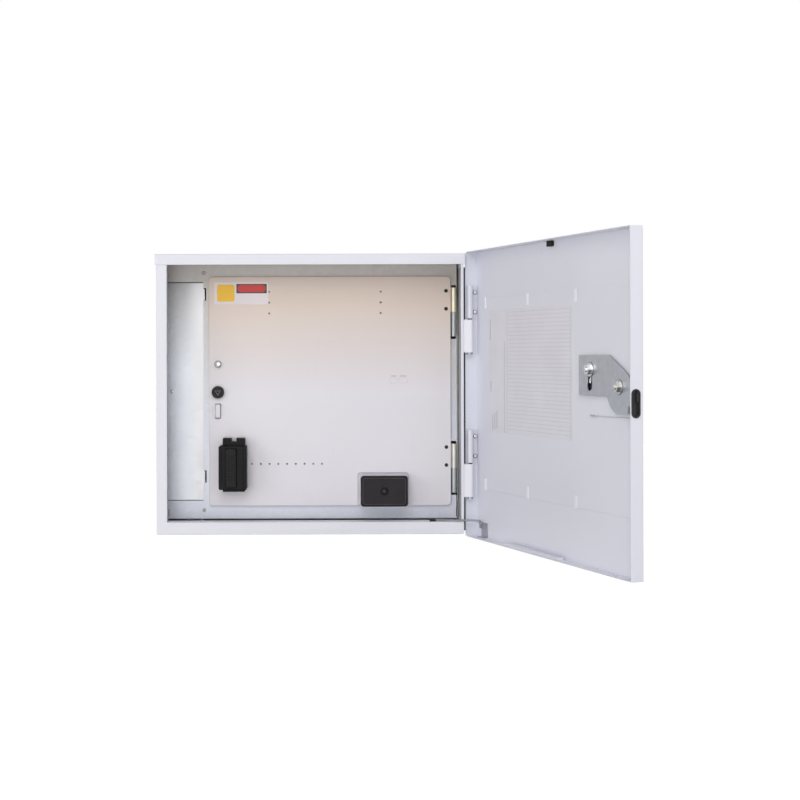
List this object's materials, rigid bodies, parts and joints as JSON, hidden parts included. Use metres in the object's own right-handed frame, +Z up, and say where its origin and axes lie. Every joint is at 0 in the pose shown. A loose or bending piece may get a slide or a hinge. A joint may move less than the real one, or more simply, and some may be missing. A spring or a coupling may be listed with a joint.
{
  "type": "electricity meter box",
  "caption": "Wall-mounted sheet-metal meter box with lift-off door, gravity latch, door stay, cable duct and hinged meter panel with fuse holder and neutral link.",
  "frame": {"origin": "centre of the four wall fixing holes on the outside of the case's back", "axes": "+X right seen from the front, +Y into the wall, +Z up"},
  "size_m": [0.8925, 0.8579, 0.6045],
  "materials": {
    "case_paint": "satin light grey powder coat",
    "door_paint": "satin light grey powder coat",
    "roof_paint": "satin light grey powder coat",
    "frame_zinc": "galvanised sheet",
    "cover_zinc": "galvanised sheet",
    "liner_paint": "satin light grey powder coat",
    "hinge_block_paint": "satin white",
    "hinge_pale": "satin light grey powder coat",
    "dark_part": "blackened steel",
    "steel_pin": "plain steel",
    "yellow_zinc": "yellow passivated zinc",
    "silver_zinc": "clear zinc",
    "latch_zinc": "zinc plate",
    "screw_zinc": "bright zinc",
    "board": "pressed insulating board",
    "label": "plain plate",
    "card": "ruled card",
    "black_plastic": "black moulding",
    "fuse_body": "black moulding",
    "fuse_black": "black moulding",
    "link_plastic": "black moulding",
    "link_grey": "dark grey moulding",
    "brass_part": "brass",
    "rubber_part": "black rubber",
    "wire_steel": "zinc plated wire"
  },
  "bodies": {
    "box": {"box_shell": "case_paint", "roof_cap": "roof_paint", "door_seal": "rubber_part", "inner_frame": "frame_zinc", "frame_rail_left": "frame_zinc", "frame_rail_right": "frame_zinc", "duct_partition": "frame_zinc", "duct_cover": "cover_zinc", "duct_cover_screw": "screw_zinc", "frame_screws": "screw_zinc", "seal_hasp": "silver_zinc", "frame_hinge_leaf_upper": "silver_zinc", "frame_hinge_leaf_lower": "silver_zinc", "panel_hinge_pin_upper": "steel_pin", "panel_hinge_pin_lower": "steel_pin", "door_hinge_block_upper": "hinge_block_paint", "door_hinge_block_lower": "hinge_block_paint", "door_hinge_pin_upper": "steel_pin", "door_hinge_pin_lower": "steel_pin", "door_hinge_washers": "dark_part", "hinge_block_screws": "screw_zinc"},
    "door": {"door_skin": "door_paint", "door_liner": "liner_paint", "liner_clips": "liner_paint", "record_card": "card", "door_hinge_leaf_upper": "hinge_pale", "door_hinge_leaf_lower": "hinge_pale", "door_hinge_screws": "screw_zinc", "latch_guide_stud": "screw_zinc", "latch_pivot_stud": "screw_zinc", "latch_guide_nut": "screw_zinc", "latch_pivot_nut": "screw_zinc", "latch_wire": "wire_steel", "latch_bezel": "black_plastic", "stay_bracket": "silver_zinc", "top_bumper": "rubber_part", "drip_strip": "silver_zinc"},
    "latch": {"latch_plate": "latch_zinc", "latch_thumb": "black_plastic"},
    "stay": {"stay_rod": "wire_steel", "stay_boot": "rubber_part"},
    "panel": {"meter_panel": "board", "panel_label": "label", "panel_hinge_leaf_upper": "yellow_zinc", "panel_hinge_leaf_lower": "yellow_zinc", "panel_hinge_screws": "dark_part", "seal_bolt": "silver_zinc", "fuse_base": "fuse_body", "fuse_jaws": "brass_part", "fuse_studs": "brass_part", "link_base": "link_grey", "link_bar": "brass_part", "link_screws": "brass_part", "link_cover": "link_plastic", "link_cover_screw": "dark_part", "link_fixings": "screw_zinc"},
    "panel_lock": {"lock_knob": "black_plastic", "lock_cam": "silver_zinc"},
    "fuse_carrier": {"fuse_carrier": "fuse_black", "fuse_blades": "brass_part"}
  },
  "joints": [
    {"name": "door_swing", "type": "hinge", "parent": "box", "child": "door", "pos_m": [0.339, -0.217, 0], "axis": [0, 0, 1], "range_deg": [-107.8, 0]},
    {"name": "panel_swing", "type": "hinge", "parent": "box", "child": "panel", "pos_m": [0.313, -0.131, 0], "axis": [0, 0, 1], "range_deg": [0, 85]},
    {"name": "latch_lift", "type": "hinge", "parent": "door", "child": "latch", "pos_m": [0.52364, -0.79209, 0.0255], "axis": [0.9521, 0.3057, 0], "range_deg": [0, 16]},
    {"name": "panel_lock_turn", "type": "hinge", "parent": "panel", "child": "panel_lock", "pos_m": [-0.2, -0.137, 0.0024], "axis": [0, 1, 0], "range_deg": [-90, 0]},
    {"name": "fuse_pull", "type": "slide", "parent": "panel", "child": "fuse_carrier", "axis": [0, -1, 0], "range_m": [0, 0.03]},
    {"name": "stay_swing", "type": "hinge", "parent": "door", "child": "stay", "pos_m": [0.3581, -0.23397, 0], "axis": [0, 0, 1], "range_deg": [0, 112]}
  ],
  "couplings": [
    {"joint": "stay_swing", "follows": "door_swing", "ratio": -1.04}
  ]
}
